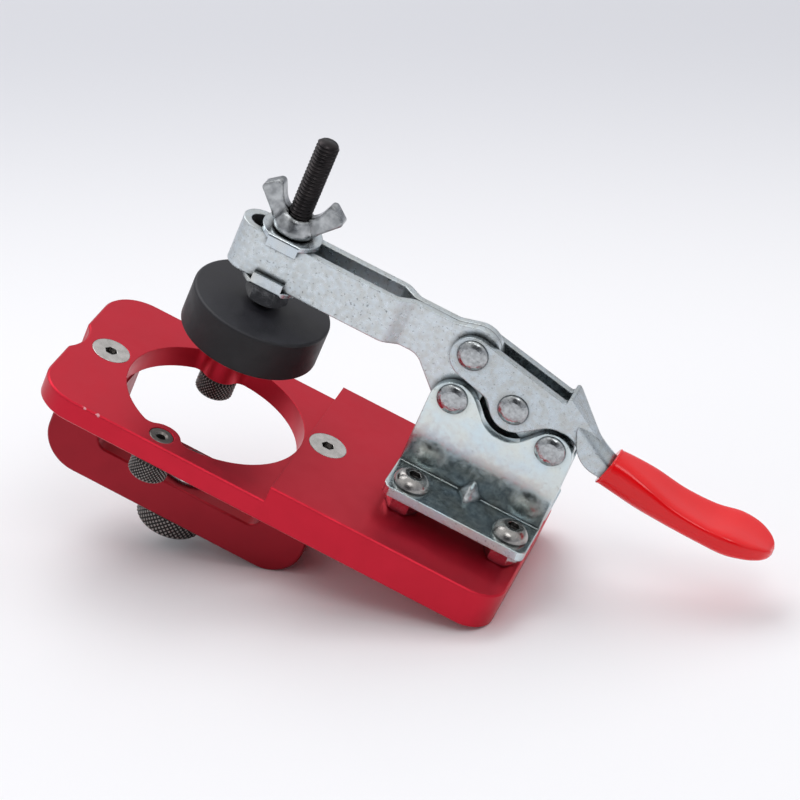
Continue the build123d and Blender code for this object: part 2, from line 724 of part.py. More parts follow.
# The finished jig stands on z = 0, centred under its own outline.
boxes = [piece.bounding_box() for piece in pieces.values()]
middle_x = (min(box.min.X for box in boxes) + max(box.max.X for box in boxes)) / 2
middle_y = (min(box.min.Y for box in boxes) + max(box.max.Y for box in boxes)) / 2
lowest = min(box.min.Z for box in boxes)
for name, piece in pieces.items():
    placed = piece.moved(Location((-middle_x, -middle_y, -lowest)))
    placed.label = name
    export_step(placed, f"parts/{name}.step")
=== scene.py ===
# %% [markdown]
# # Hinge drilling jig
# This lesson dresses a finished set of solids: a red anodised aluminium plate with a big hole, a
# guide bridge under it, and a zinc plated toggle clamp that holds a door on the plate. The solids
# come in as a fixed frame, in metres. Most of them only need a good material. A few, such as the
# threads and the knurls, are too fine for the solids and are modelled here.

# %% Load the frame
from math import cos, sin, pi, radians

import bmesh
import bpy
from mathutils import Matrix, Vector


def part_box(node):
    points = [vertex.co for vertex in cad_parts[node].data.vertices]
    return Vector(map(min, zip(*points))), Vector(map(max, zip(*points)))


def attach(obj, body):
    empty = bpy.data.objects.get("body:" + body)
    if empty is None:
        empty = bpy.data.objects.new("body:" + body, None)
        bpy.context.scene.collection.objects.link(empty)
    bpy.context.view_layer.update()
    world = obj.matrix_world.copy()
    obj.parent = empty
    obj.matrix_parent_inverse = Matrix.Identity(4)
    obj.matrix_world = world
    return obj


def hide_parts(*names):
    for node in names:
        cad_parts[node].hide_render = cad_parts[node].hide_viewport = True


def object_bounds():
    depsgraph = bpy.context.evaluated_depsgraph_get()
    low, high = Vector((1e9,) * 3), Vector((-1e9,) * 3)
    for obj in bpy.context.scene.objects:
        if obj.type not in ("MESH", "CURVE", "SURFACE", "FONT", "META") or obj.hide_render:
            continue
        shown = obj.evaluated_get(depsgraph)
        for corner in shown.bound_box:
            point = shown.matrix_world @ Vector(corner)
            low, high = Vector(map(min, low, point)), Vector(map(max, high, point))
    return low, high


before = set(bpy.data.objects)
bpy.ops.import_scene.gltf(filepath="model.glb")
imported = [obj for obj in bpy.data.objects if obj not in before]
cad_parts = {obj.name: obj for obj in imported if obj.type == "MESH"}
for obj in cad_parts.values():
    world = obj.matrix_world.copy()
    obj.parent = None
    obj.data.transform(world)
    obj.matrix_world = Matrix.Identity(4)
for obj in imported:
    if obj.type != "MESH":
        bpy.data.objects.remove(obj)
cad_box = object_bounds()
box_size = [round(1000 * (end - start), 1) for start, end in zip(*cad_box)]
print(len(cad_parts), "solids in a box of", box_size, "mm")

# %% [markdown]
# The jig leans: it rests on its bridge and on the rear edge of the plate. Positions are easier to
# read along the plate than along the floor, so one matrix turns plate millimetres into the frame's
# metres. The plate's own origin is the centre of the big hole, on the face that takes the door. The
# pad is a plain round disc, so the middle of its box ties the two frames together.

# %% From plate millimetres to the frame
lean = radians(23.753915)
spindle_axis = (0.3, 3.5)
pad_middle = Vector((*spindle_axis, 25.8))
low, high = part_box("pad")
pad_in_frame = 1000 * (Vector(low) + Vector(high)) / 2
plate_origin = pad_in_frame - Matrix.Rotation(lean, 3, "Y") @ pad_middle
to_frame = Matrix.Scale(0.001, 4) @ Matrix.Translation(plate_origin) @ Matrix.Rotation(lean, 4, "Y")


def place(x, y, z):
    """A point given in plate millimetres, in the frame's metres."""
    return to_frame @ Vector((x, y, z))


print("centre of the big hole, in metres:", [round(v, 4) for v in place(0, 0, 0)])

# %% [markdown]
# Colours are written as the hex values that a paint chart or a photo editor shows. Blender works
# with linear light, so one function does the conversion. A second function adds a shader node with
# its settings and its links, which keeps each material short enough to read in one go. Inputs that
# share a name are given by number. In Map Range, 1 and 2 are the range that comes in, and 3 and 4 the
# range that goes out. In a colour Mix, 0 is the share, and 6 and 7 are the two colours. The maths
# nodes count their inputs from 0.

# %% Colours and nodes
def linear(code):
    """An sRGB hex colour as linear red, green, blue and alpha."""
    parts = [int(code[i:i + 2], 16) / 255 for i in (1, 3, 5)]
    return [p / 12.92 if p <= 0.04045 else ((p + 0.055) / 1.055) ** 2.4 for p in parts] + [1.0]


def add(tree, kind, out, inputs, **settings):
    """Adds a node and returns one output. An input is a value, or the output that feeds it."""
    node = tree.nodes.new(kind)
    for name, value in settings.items():
        setattr(node, name, value)
    for name, value in inputs.items():
        if isinstance(value, bpy.types.NodeSocket):
            tree.links.new(value, node.inputs[name])
        else:
            node.inputs[name].default_value = value
    return node.outputs[out]


def start_material(name, constants):
    """A material with its constants set, and positions in plate millimetres for its patterns."""
    material = bpy.data.materials.new(name)
    material.use_nodes = True
    tree = material.node_tree
    shader = tree.nodes["Principled BSDF"]
    for socket, value in constants.items():
        shader.inputs[socket].default_value = value
    where = add(tree, "ShaderNodeTexCoord", "Object", {})
    turned_back = Matrix.Rotation(-lean, 3, "Y")
    position = add(tree, "ShaderNodeMapping", "Vector", {
        "Vector": where, "Location": turned_back @ -plate_origin, "Rotation": (0, -lean, 0),
        "Scale": (1000, 1000, 1000)})
    return material, tree, shader, position


print("mid grey in linear light:", round(linear("#808080")[0], 3))

# %% [markdown]
# The plate and the bridge are milled aluminium, bead blasted and then anodised red. The dye sits in
# a clear oxide skin, so the metal shows through it: strongly coloured reflections, dulled by the
# blasting, under a thin pale sheen. A red paint under a clear coat would look like plastic, so the
# shader is mostly metallic and takes its red as the metal's own colour. Blasting leaves dimples of
# about 0.1 mm, drawn here at 0.3 mm so that they show. The near top edge, the front edge and the rim
# of the hole have small chips where bare metal shows. Each chip is a place and a radius, with its
# outline made ragged by a noise.

# %% Anodised aluminium
chips = [(-25.8, -28.9, 0.0, 1.2), (-21.9, -29.0, 0.0, 1.4), (-22.5, -7.5, 0.0, 0.8),
         (-38.9, -9.0, -1.0, 0.6)]


def anodised(name, dye_and_shade, deep):
    """Red aluminium whose colour varies a little over about 18 mm, with chips at the listed places."""
    material, tree, shader, position = start_material(name, {
        "Metallic": 0.82, "Coat Weight": 0.22, "Coat Roughness": 0.42})
    cloud = add(tree, "ShaderNodeTexNoise", "Fac", {"Vector": position, "Scale": 1 / 18})
    colour = add(tree, "ShaderNodeMix", 2, {0: cloud, 6: linear(dye_and_shade), 7: linear(deep)},
                 data_type="RGBA")
    chipped = 0.0
    for x, y, z, radius in chips:
        away = add(tree, "ShaderNodeVectorMath", "Value", {0: position, 1: (x, y, z)},
                   operation="DISTANCE")
        spot = add(tree, "ShaderNodeMapRange", 0, {0: away, 1: 0.0, 2: radius, 3: 1.0, 4: 0.0})
        chipped = add(tree, "ShaderNodeMath", 0, {0: spot, 1: chipped}, operation="MAXIMUM")
    crumbs = add(tree, "ShaderNodeTexNoise", "Fac", {"Vector": position, "Scale": 1.3})
    ragged = add(tree, "ShaderNodeMath", 0, {0: chipped, 1: crumbs}, operation="MULTIPLY")
    bare = add(tree, "ShaderNodeMapRange", 0, {0: ragged, 1: 0.27, 2: 0.33})
    skin = add(tree, "ShaderNodeMix", 2, {0: bare, 6: colour, 7: linear("#D08F96")},
               data_type="RGBA")
    tree.links.new(skin, shader.inputs["Base Color"])
    handled = add(tree, "ShaderNodeTexNoise", "Fac", {"Vector": position, "Scale": 1 / 5})
    rough = add(tree, "ShaderNodeMapRange", 0, {0: handled, 1: 0.3, 2: 0.7, 3: 0.36, 4: 0.46})
    tree.links.new(rough, shader.inputs["Roughness"])
    rounded = add(tree, "ShaderNodeBevel", 0, {"Radius": 0.0004}, samples=4)
    dimples = add(tree, "ShaderNodeTexNoise", "Fac",
                  {"Vector": position, "Scale": 3.3, "Detail": 1.0})
    surface = add(tree, "ShaderNodeBump", 0,
                  {"Height": dimples, "Distance": 0.000012, "Normal": rounded})
    tree.links.new(surface, shader.inputs["Normal"])
    return material


plate_red = anodised("anodised aluminium, plate", "#CE1532", "#C00E29")
# The bridge's red is darker than the plate's. This is painted shade, because the bridge sits low under
# the plate, near the floor, where less light reaches it.
bridge_red_in_painted_shade = anodised("anodised aluminium, bridge, in painted shade", "#9C0E22", "#8C0B1C")
print("chips in the anodising:", len(chips))

# %% [markdown]
# Nearly everything else is metal: zinc plated steel, stainless screws, plain nuts and a blackened
# spindle. They share one recipe. Two close colours in soft patches stand for the metal's cast. One
# finer noise makes the shine uneven, as handling does, and another leaves tiny dark specks. Where
# surfaces meet, the colour is darkened as painted shade, in corners and round the rivet heads. Every
# real edge is slightly round, even a sheared one, and that roundness is what draws a thin bright line
# along it. The edges could be bevelled in the mesh, but the solids stay as they are, so a Bevel node
# rounds only their shading.

# %% Bare and plated metals
def metal(name, light, dark, rough, patch, grain, depth, edge, specks=0.3):
    """A metal; rough is a range, and the sizes of its patterns and of its relief are in mm."""
    material, tree, shader, position = start_material(name, {"Metallic": 1.0})
    cloud = add(tree, "ShaderNodeTexNoise", "Fac", {"Vector": position, "Scale": 1 / patch})
    cast = add(tree, "ShaderNodeMapRange", 0, {0: cloud, 1: 0.35, 2: 0.65})
    colour = add(tree, "ShaderNodeMix", 2, {0: cast, 6: linear(light), 7: linear(dark)},
                 data_type="RGBA")
    dots = add(tree, "ShaderNodeTexNoise", "Fac", {"Vector": position, "Scale": 1.6, "Detail": 4.0})
    speck = add(tree, "ShaderNodeMapRange", 0, {0: dots, 1: 0.62, 2: 0.72, 3: 0.0, 4: specks})
    colour = add(tree, "ShaderNodeMix", 2, {0: speck, 6: colour, 7: linear("#5E6264")},
                 data_type="RGBA")
    # painted shade: where the ambient occlusion finds surfaces close by, the colour goes towards dark
    # grey
    open_air = add(tree, "ShaderNodeAmbientOcclusion", "AO", {"Distance": 0.0016}, samples=6)
    painted_crevice_shade = add(tree, "ShaderNodeMapRange", 0, {0: open_air, 1: 0.35, 2: 0.97, 3: 0.88, 4: 0.0})
    colour = add(tree, "ShaderNodeMix", 2, {0: painted_crevice_shade, 6: colour, 7: linear("#2B2A2A")},
                 data_type="RGBA")
    tree.links.new(colour, shader.inputs["Base Color"])
    handled = add(tree, "ShaderNodeTexNoise", "Fac",
                  {"Vector": position, "Scale": 0.7, "Detail": 5.0})
    shine = add(tree, "ShaderNodeMapRange", 0,
                {0: handled, 1: 0.35, 2: 0.65, 3: rough[0], 4: rough[1]})
    tree.links.new(shine, shader.inputs["Roughness"])
    rounded = add(tree, "ShaderNodeBevel", 0, {"Radius": edge / 1000}, samples=6)
    hills = add(tree, "ShaderNodeTexNoise", "Fac",
                {"Vector": position, "Scale": 1 / grain, "Detail": 3.0})
    surface = add(tree, "ShaderNodeBump", 0,
                  {"Height": hills, "Distance": depth / 1000, "Normal": rounded})
    tree.links.new(surface, shader.inputs["Normal"])
    return material


print("metal recipe ready")

# %% [markdown]
# Zinc plating is bright, with a cool cast and faint warm patches from its passivation. The sheet of
# the base is nearly a mirror, and the folded arm is duller and more speckled. A rivet's head was
# struck, so it is slightly dimpled. The wing nut is a casting with soft edges, and its shine shows
# dark and light bands. One zinc for them all would be simpler, but sheet, strip and casting shine
# differently, and that is how the eye tells them apart.

# %% Zinc plated steel
sheet_zinc = metal("zinc plated steel, pressed sheet", "#D3E3E9", "#DAE2DF", (0.14, 0.24),
                   patch=6, grain=1.0, depth=0.0015, edge=0.5, specks=0.5)
arm_zinc = metal("zinc plated steel, folded arm", "#D3DCE1", "#C9CECE", (0.25, 0.40),
                 patch=1.7, grain=0.7, depth=0.016, edge=0.5, specks=0.7)
handle_zinc = metal("zinc plated steel, handle", "#C4CED4", "#BBC0C0", (0.19, 0.32),
                    patch=1.9, grain=0.8, depth=0.014, edge=0.5, specks=0.6)
washer_zinc = metal("zinc plated steel, washers", "#C9D3DA", "#CDD0CE", (0.16, 0.28),
                    patch=5, grain=1.5, depth=0.012, edge=0.35)
rivet_zinc = metal("zinc plated steel, rivets", "#BDC1C3", "#A1A4A6", (0.13, 0.28),
                   patch=0.9, grain=0.5, depth=0.05, edge=0.1, specks=0.6)
cast_zinc = metal("zinc plated casting, wing nut", "#B8BBBD", "#8E9193", (0.10, 0.20),
                  patch=2.2, grain=1.6, depth=0.09, edge=1.4)
zincs = (sheet_zinc, arm_zinc, handle_zinc, washer_zinc, rivet_zinc, cast_zinc)
print("zinc finishes:", [material.name for material in zincs])

# %% [markdown]
# A press shears the outer edges of the two flanges and leaves them torn and matt, unlike the smooth
# faces. A second material could go on those faces, but then the solids' slots would have to change.
# Those edges are the only sheet that far from the clamp's middle plane, so the distance from the
# plane tells the one material where to be rough.

# %% Sheared flange edges
edge_start, edge_full = 18.70, 18.78
tree = sheet_zinc.node_tree
shader = tree.nodes["Principled BSDF"]
smooth = shader.inputs["Roughness"].links[0].from_socket
relief = shader.inputs["Normal"].links[0].from_socket
position = tree.nodes["Mapping"].outputs["Vector"]
across = add(tree, "ShaderNodeSeparateXYZ", "Y", {"Vector": position})
offset = add(tree, "ShaderNodeMath", 0, {0: across, 1: spindle_axis[1]}, operation="SUBTRACT")
distance = add(tree, "ShaderNodeMath", 0, {0: offset}, operation="ABSOLUTE")
sheared = add(tree, "ShaderNodeMapRange", 0, {0: distance, 1: edge_start, 2: edge_full})
matt = add(tree, "ShaderNodeMapRange", 0, {0: sheared, 3: 0.0, 4: 0.45})
rough = add(tree, "ShaderNodeMath", 0, {0: smooth, 1: matt}, operation="ADD")
tree.links.new(rough, shader.inputs["Roughness"])
torn = add(tree, "ShaderNodeTexNoise", "Fac", {"Vector": position, "Scale": 1.7, "Detail": 4.0})
tear = add(tree, "ShaderNodeMapRange", 0, {0: sheared, 3: 0.0, 4: 0.00025})
surface = add(tree, "ShaderNodeBump", 0, {"Height": torn, "Distance": tear, "Normal": relief})
tree.links.new(surface, shader.inputs["Normal"])
print("rough beyond", edge_full, "mm from the middle plane")

# %% [markdown]
# The screws are turned stainless steel, a little warmer than the zinc. The bush is hardened and
# ground, and the hexagon nuts are plain steel. The spindle has a black oxide skin, dark brown to
# black, that still reflects like metal on the crests of its thread. The zinc's recipe serves them
# too: only the colours, the shine and the sizes of the patterns change.

# %% Stainless, plain and black steels
stainless = metal("stainless steel, flush screws", "#D2CECB", "#BDBAB6", (0.18, 0.30),
                  patch=2.2, grain=0.8, depth=0.01, edge=0.25)
button_steel = metal("stainless steel, button screws", "#ABA8A5", "#949290", (0.16, 0.30),
                     patch=1.8, grain=0.8, depth=0.012, edge=0.25)
ground_steel = metal("hardened steel, ground bush", "#A9AAAC", "#8F9092", (0.22, 0.36),
                     patch=3, grain=0.8, depth=0.01, edge=0.3)
nut_steel = metal("plain steel, hexagon nuts", "#DADCDE", "#BCBEC0", (0.12, 0.24),
                  patch=2.5, grain=1.0, depth=0.015, edge=0.2)
black_oxide = metal("black oxide steel, spindle", "#3C3839", "#292729", (0.28, 0.42),
                    patch=3, grain=0.9, depth=0.02, edge=0.1, specks=0.0)
steels = (stainless, button_steel, ground_steel, nut_steel, black_oxide)
print("steels:", [material.name for material in steels])

# %% [markdown]
# A knurl is rolled into the steel: the wheel presses grooves and raises points. The mesh below
# stores how high each spot is, and this material reads that to colour the grooves dark and the
# points pale. A pattern drawn by the material alone could do the same, but it would have to be lined
# up with the points of the mesh by hand.

# %% Knurled steel
knurled, tree, shader, position = start_material("hardened steel, knurled", {"Metallic": 0.9})
height = add(tree, "ShaderNodeAttribute", "Fac", {}, attribute_name="knurl_height")
groove_to_point = add(tree, "ShaderNodeMapRange", 0, {0: height, 1: 0.35, 2: 0.95})
colour = add(tree, "ShaderNodeMix", 2, {0: groove_to_point, 6: linear("#292625"), 7: linear("#A39C98")},
             data_type="RGBA")
tree.links.new(colour, shader.inputs["Base Color"])
oil = add(tree, "ShaderNodeTexNoise", "Fac", {"Vector": position, "Scale": 1.0})
shine = add(tree, "ShaderNodeMapRange", 0, {0: oil, 1: 0.3, 2: 0.7, 3: 0.30, 4: 0.44})
tree.links.new(shine, shader.inputs["Roughness"])
print("made:", knurled.name)

# %% [markdown]
# The pad is moulded black rubber with a fine matt skin. Its upper face is paler: partly a film of
# pale dust, partly painted light from the lamps above. Only a face that looks up in the closed clamp
# gets it, so the material asks how far the surface faces up. It asks that of the object itself, not
# of the room, so the paler film stays where it is when the arm swings open.

# %% Moulded rubber
rubber, tree, shader, position = start_material("moulded rubber, pad", {"Specular IOR Level": 0.4})
facing = add(tree, "ShaderNodeTexCoord", "Normal", {})
upward = add(tree, "ShaderNodeVectorMath", "Value", {0: facing, 1: (0, 0, 1)},
             operation="DOT_PRODUCT")
film = add(tree, "ShaderNodeTexNoise", "Fac", {"Vector": position, "Scale": 0.25, "Detail": 6.0})
# dust and painted light from above: faces that look up, patchy by the noise, mix towards the paler
# colour
dust_and_top_light = add(tree, "ShaderNodeMath", 0, {0: upward, 1: film}, operation="MULTIPLY", use_clamp=True)
colour = add(tree, "ShaderNodeMix", 2, {0: dust_and_top_light, 6: linear("#0D0C10"), 7: linear("#34343B")},
             data_type="RGBA")
tree.links.new(colour, shader.inputs["Base Color"])
shine = add(tree, "ShaderNodeMapRange", 0, {0: film, 1: 0.3, 2: 0.7, 3: 0.44, 4: 0.58})
tree.links.new(shine, shader.inputs["Roughness"])
skin = add(tree, "ShaderNodeTexNoise", "Fac", {"Vector": position, "Scale": 2.8})
surface = add(tree, "ShaderNodeBump", 0, {"Height": skin, "Distance": 0.00003})
tree.links.new(surface, shader.inputs["Normal"])
print("made:", rubber.name)

# %% [markdown]
# The grip is soft vinyl that the handle was dipped in: one glossy skin, slightly uneven where it
# ran. Light goes a little way into it and comes out deep red, so its shaded side still glows. That
# is what subsurface scattering is for, with the red reaching furthest.

# %% Dipped vinyl
vinyl, tree, shader, position = start_material("dipped vinyl, grip", {
    "Specular IOR Level": 0.3, "Coat Weight": 0.28, "Coat Roughness": 0.07,
    "Subsurface Weight": 0.25, "Subsurface Radius": (1.0, 0.08, 0.05), "Subsurface Scale": 0.002})
cloud = add(tree, "ShaderNodeTexNoise", "Fac", {"Vector": position, "Scale": 1 / 12})
colour = add(tree, "ShaderNodeMix", 2, {0: cloud, 6: linear("#EE0A16"), 7: linear("#E20610")},
             data_type="RGBA")
tree.links.new(colour, shader.inputs["Base Color"])
ran = add(tree, "ShaderNodeTexNoise", "Fac", {"Vector": position, "Scale": 0.2, "Detail": 1.0})
shine = add(tree, "ShaderNodeMapRange", 0, {0: ran, 1: 0.3, 2: 0.7, 3: 0.14, 4: 0.24})
tree.links.new(shine, shader.inputs["Roughness"])
surface = add(tree, "ShaderNodeBump", 0, {"Height": ran, "Distance": 0.00012})
tree.links.new(surface, shader.inputs["Normal"])
print("made:", vinyl.name)

# %% [markdown]
# Most solids already have the right shape, so they only take their finish: each one's material slots
# are filled with the material made for it.

# %% Give each solid its finish
finishes = {
    "base_plate": plate_red, "guide_bridge": bridge_red_in_painted_shade, "guide_bush": ground_steel,
    "clamp_base_near": sheet_zinc, "clamp_base_far": sheet_zinc, "clamp_arm": arm_zinc,
    "handle": handle_zinc, "link": handle_zinc, "grip": vinyl, "pad": rubber,
    "upper_washer": washer_zinc, "lower_washer": washer_zinc, "hex_nut": nut_steel,
    "wing_nut": cast_zinc, "spindle": black_oxide, "knurled_collar": knurled,
    "pilot_bushing_near": knurled, "pilot_bushing_far": knurled,
}
finishes.update({f"bridge_screw_{i}": stainless for i in (1, 2)})
finishes.update({f"base_screw_{i}": button_steel for i in (1, 2, 3, 4)})
finishes.update({f"spacer_nut_{i}": nut_steel for i in (1, 2, 3, 4)})
finishes.update({name: rivet_zinc for name in
                 ("arm_rivet", "handle_rivet", "base_rivet", "link_rivet_near", "link_rivet_far")})

for name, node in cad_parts.items():
    for material_slot in node.material_slots:
        material_slot.material = finishes[name]
print("solids dressed:", len(finishes), "of", len(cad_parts))

# %% [markdown]
# The new pieces are all built point by point with bmesh, and most of them are a stack of rings. So
# three small helpers do what they share: they join the rings with faces, turn the points and faces
# into an object, and give that object its finish and the body that carries it.

# %% Helpers for new pieces
def join_rings(grid, rows, hollow):
    """Faces between neighbouring rings, then a bore back to the first ring or a cap at each end."""
    loop = rows + [rows[0]] if hollow else rows
    for lower, upper in zip(loop, loop[1:]):
        for i in range(len(lower)):
            j = (i + 1) % len(lower)
            grid.faces.new((lower[i], lower[j], upper[j], upper[i]))
    if not hollow:
        grid.faces.new(rows[0][::-1])
        grid.faces.new(rows[-1])


def piece_from(name, grid):
    """A new object in the scene from the points and faces of a grid."""
    bmesh.ops.recalc_face_normals(grid, faces=grid.faces)
    mesh = bpy.data.meshes.new(name)
    grid.to_mesh(mesh)
    grid.free()
    piece = bpy.data.objects.new(name, mesh)
    bpy.context.collection.objects.link(piece)
    return piece


def finish_piece(piece, material, body, node=None, smooth_below=40):
    """Gives a new piece its material, its shading and its body, and hides the solid that it stands for.
    """
    piece.data.materials.append(material)
    for face in piece.data.polygons:
        face.use_smooth = True
    piece.data.set_sharp_from_angle(angle=radians(smooth_below))
    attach(piece, body)
    if node:
        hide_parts(node)
    print(piece.name, "has", len(piece.data.polygons), "faces")


print("helpers for new pieces ready")

# %% [markdown]
# Threads, knurls and rivets are all turned surfaces, some with a radius that changes with height and
# angle. So one helper turns a profile. It takes rings of (radius, height), a function that puts a
# point of a ring in its place, and a function that says how far the point sinks in and how high it
# counts as raised. It keeps the second number on the mesh for the knurl's material.

# %% Turn a profile into a mesh
def upright(x, y):
    """Places the points of a piece that stands on the plate, at x and y in plate millimetres."""
    return lambda radius, angle, height: place(x + radius * cos(angle), y + radius * sin(angle), height)


def turned(name, spot, rings, steps, sink, hollow):
    """Turns rings of (radius, height) in millimetres; spot gives each point its place in metres."""
    grid = bmesh.new()
    raised_layer = grid.verts.layers.float.new("knurl_height")
    rows = []
    for radius, height in rings:
        row = []
        for step in range(steps):
            angle = 2 * pi * step / steps
            depth, raised = sink(radius, height, angle)
            vertex = grid.verts.new(spot(radius - depth, angle, height))
            vertex[raised_layer] = raised
            row.append(vertex)
        rows.append(row)
    join_rings(grid, rows, hollow)
    return piece_from(name, grid)


print("turning helper ready")

# %% [markdown]
# The spindle is a 6 mm screw with a 1 mm pitch. Its ridge climbs one pitch each turn, so the depth
# at a point depends on its height and on the share of the turn at that angle. The top is chamfered,
# which cuts the ridge away there. A Screw modifier could wind the ridge as well, but it leaves both
# ends open, while a stack of rings only needs a cap at each end.

# %% Spindle with its thread
spindle_radius, pitch, ridge, steepness, top_chamfer = 2.95, 1.0, 0.52, 1.25, 0.8
spindle_low, spindle_high = 22.9, 79.7
rings_per_turn, points_per_ring = 8, 36


def thread(radius, height, angle):
    """A sink function that leaves one ridge above a flat root, and a chamfer at the top."""
    climb = (height / pitch - angle / (2 * pi)) % 1.0
    groove = ridge * min(1.0, steepness * abs(2 * climb - 1))
    chamfer = max(0.0, top_chamfer - (spindle_high - height))
    return max(groove, chamfer), 0.5


spindle_length = spindle_high - spindle_low
ring_count = round(spindle_length * rings_per_turn / pitch)
rings = [(spindle_radius, spindle_low + spindle_length * i / ring_count) for i in range(ring_count + 1)]
spindle = turned("threaded_spindle", upright(*spindle_axis), rings, points_per_ring, thread, False)
finish_piece(spindle, black_oxide, "spindle_body", "spindle", 60)

# %% [markdown]
# The collar and the two pilot bushings are gripped by hand, so their rims are knurled in diamonds.
# Two sets of grooves cross, one climbing each way, and a point stands where both are furthest away.
# A bump map would leave the rim's outline smooth, and a knurl shows best there, so it is geometry.
# The pitch is about 1 mm on the bushings and 1.4 mm on the collar. The points are rubbed a little
# flat. The plain faces beside them count as raised by 0.62, so their colour lies between that of the
# grooves and that of the points.

# %% Knurl pattern
knurl_depth, plain_end, points_per_tooth = 0.3, 0.6, 6
rubbed, plain_raised = 1.35, 0.62


def knurl(rim, low_end, high_end, knurl_pitch):
    """A sink function with diamonds on the rim between two heights, and nothing elsewhere."""
    teeth = round(2 * pi * rim / knurl_pitch)

    def sink(radius, height, angle):
        if radius < rim - 0.01 or not low_end <= height <= high_end:
            return 0.0, plain_raised
        turns = teeth * angle / (2 * pi)
        one_way = 1 - abs(2 * ((turns + height / knurl_pitch) % 1.0) - 1)
        other_way = 1 - abs(2 * ((turns - height / knurl_pitch) % 1.0) - 1)
        raised = min(1.0, rubbed * min(one_way, other_way))
        return knurl_depth * (1 - raised), raised

    return sink, teeth * points_per_tooth


def rim_rings(rim, low_end, high_end, spacing=0.16):
    """Closely spaced rings over the knurled height."""
    number = round((high_end - low_end) / spacing)
    return [(rim, low_end + (high_end - low_end) * i / number) for i in range(number + 1)]


print("knurl depth in mm:", knurl_depth)

# %% [markdown]
# The collar screws on to the foot of the guide bush, under the bridge. Its profile goes up the
# outside, over the chamfered ends, and back down the bore.

# %% Knurled collar
collar_top, collar_bottom, collar_rim, collar_bore, collar_pitch = -31.75, -37.85, 8.95, 6.05, 1.4
knurl_low, knurl_high = collar_bottom + plain_end, collar_top - plain_end
sink, steps = knurl(collar_rim, knurl_low, knurl_high, collar_pitch)
rings = [(collar_bore, collar_bottom), (collar_rim - plain_end, collar_bottom)]
rings += rim_rings(collar_rim, knurl_low, knurl_high)
rings += [(collar_rim - plain_end, collar_top), (collar_bore, collar_top)]
collar = turned("collar_with_knurl", upright(0, 0), rings, steps, sink, True)
finish_piece(collar, knurled, "collar_body", "knurled_collar")

# %% [markdown]
# Each pilot bushing has a plain body in the plate's boss and a knurled head under it. Its bore
# guides a small drill, so it stays open, with a little countersink on top. One loop makes the two,
# because only their side of the plate differs.

# %% Pilot bushings
pilot_x, pilot_y, pilot_pitch = -6.0, 24.0, 1.05
head_top, head_end, head_rim, body_radius, bore_radius = -6.05, -11.75, 5.1, 3.2, 1.2
body_chamfer, countersink = 0.3, 0.5
knurl_low, knurl_high = head_end + plain_end, head_top - plain_end
for name, body, side in (("near", "pilot_near_body", -1), ("far", "pilot_far_body", 1)):
    sink, steps = knurl(head_rim, knurl_low, knurl_high, pilot_pitch)
    rings = [(bore_radius, head_end), (head_rim - plain_end, head_end)]
    rings += rim_rings(head_rim, knurl_low, knurl_high)
    rings += [(head_rim - plain_end, head_top), (body_radius, head_top),
              (body_radius, -body_chamfer), (body_radius - body_chamfer, 0.0),
              (bore_radius + countersink, 0.0), (bore_radius, -countersink)]
    spot = upright(pilot_x, side * pilot_y)
    bushing = turned(f"bushing_with_knurl_{name}", spot, rings, steps, sink, True)
    finish_piece(bushing, knurled, body, f"pilot_bushing_{name}")

# %% [markdown]
# A rivet is struck until its end spreads. That leaves a low upright rim on the sheet, a round flank,
# and the flat face of the punch. The flank turns dark and light round the face, and the rim draws
# the dark line round the rivet. A plain cone would be simpler, but it shows neither. The box of each
# solid gives the rivet's middle and its ends.

# %% Struck rivets
shank, head_height, points_round_rivet = 2.5, 1.3, 48
struck_head = [(4.0, 0.0), (4.0, 0.26), (3.92, 0.46), (3.70, 0.70), (3.36, 0.92), (3.02, 1.10),
               (2.74, 1.24), (2.62, 1.30), (1.2, 1.30)]


def plain(radius, height, angle):
    """A sink function that leaves the surface smooth."""
    return 0.0, 0.0


def sideways(middle):
    """Places the points of a piece that lies across the plate; middle is in metres."""
    return lambda radius, angle, height: Vector((
        middle.x + radius * cos(angle) / 1000, height / 1000, middle.z + radius * sin(angle) / 1000))


def rivet_end(end, side, has_head):
    """Rings from a rivet's shank to one of its ends, with a struck head or without."""
    if not has_head:
        return [(shank, end)]
    wall = end - side * head_height
    return [(shank, wall)] + [(radius, wall + side * rise) for radius, rise in struck_head]


rivets = {"arm_rivet": ("jig", True, True), "handle_rivet": ("handle_body", True, True),
          "base_rivet": ("jig", True, True), "link_rivet_near": ("handle_body", True, False),
          "link_rivet_far": ("handle_body", False, True)}
for name, (body, near_head, far_head) in rivets.items():
    low, high = (Vector(corner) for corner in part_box(name))
    rings = rivet_end(1000 * low.y, -1, near_head)[::-1] + rivet_end(1000 * high.y, 1, far_head)
    spot = sideways((low + high) / 2)
    rivet = turned(f"struck_{name}", spot, rings, points_round_rivet, plain, False)
    finish_piece(rivet, rivet_zinc, body, name, 35)

# %% [markdown]
# Each wall of the clamp is stiffened by a gusset, a three-cornered dimple pressed into the fold
# between the wall and its flange. Pressing leaves a round ridge, so its one free edge gets a wide
# bevel, and the soft finish of the wing nut suits it. Its corners are given along the plate, out
# from the wall and up from the flange. The clamp is symmetric about its middle plane, so side is -1
# for the near one and 1 for the far one.

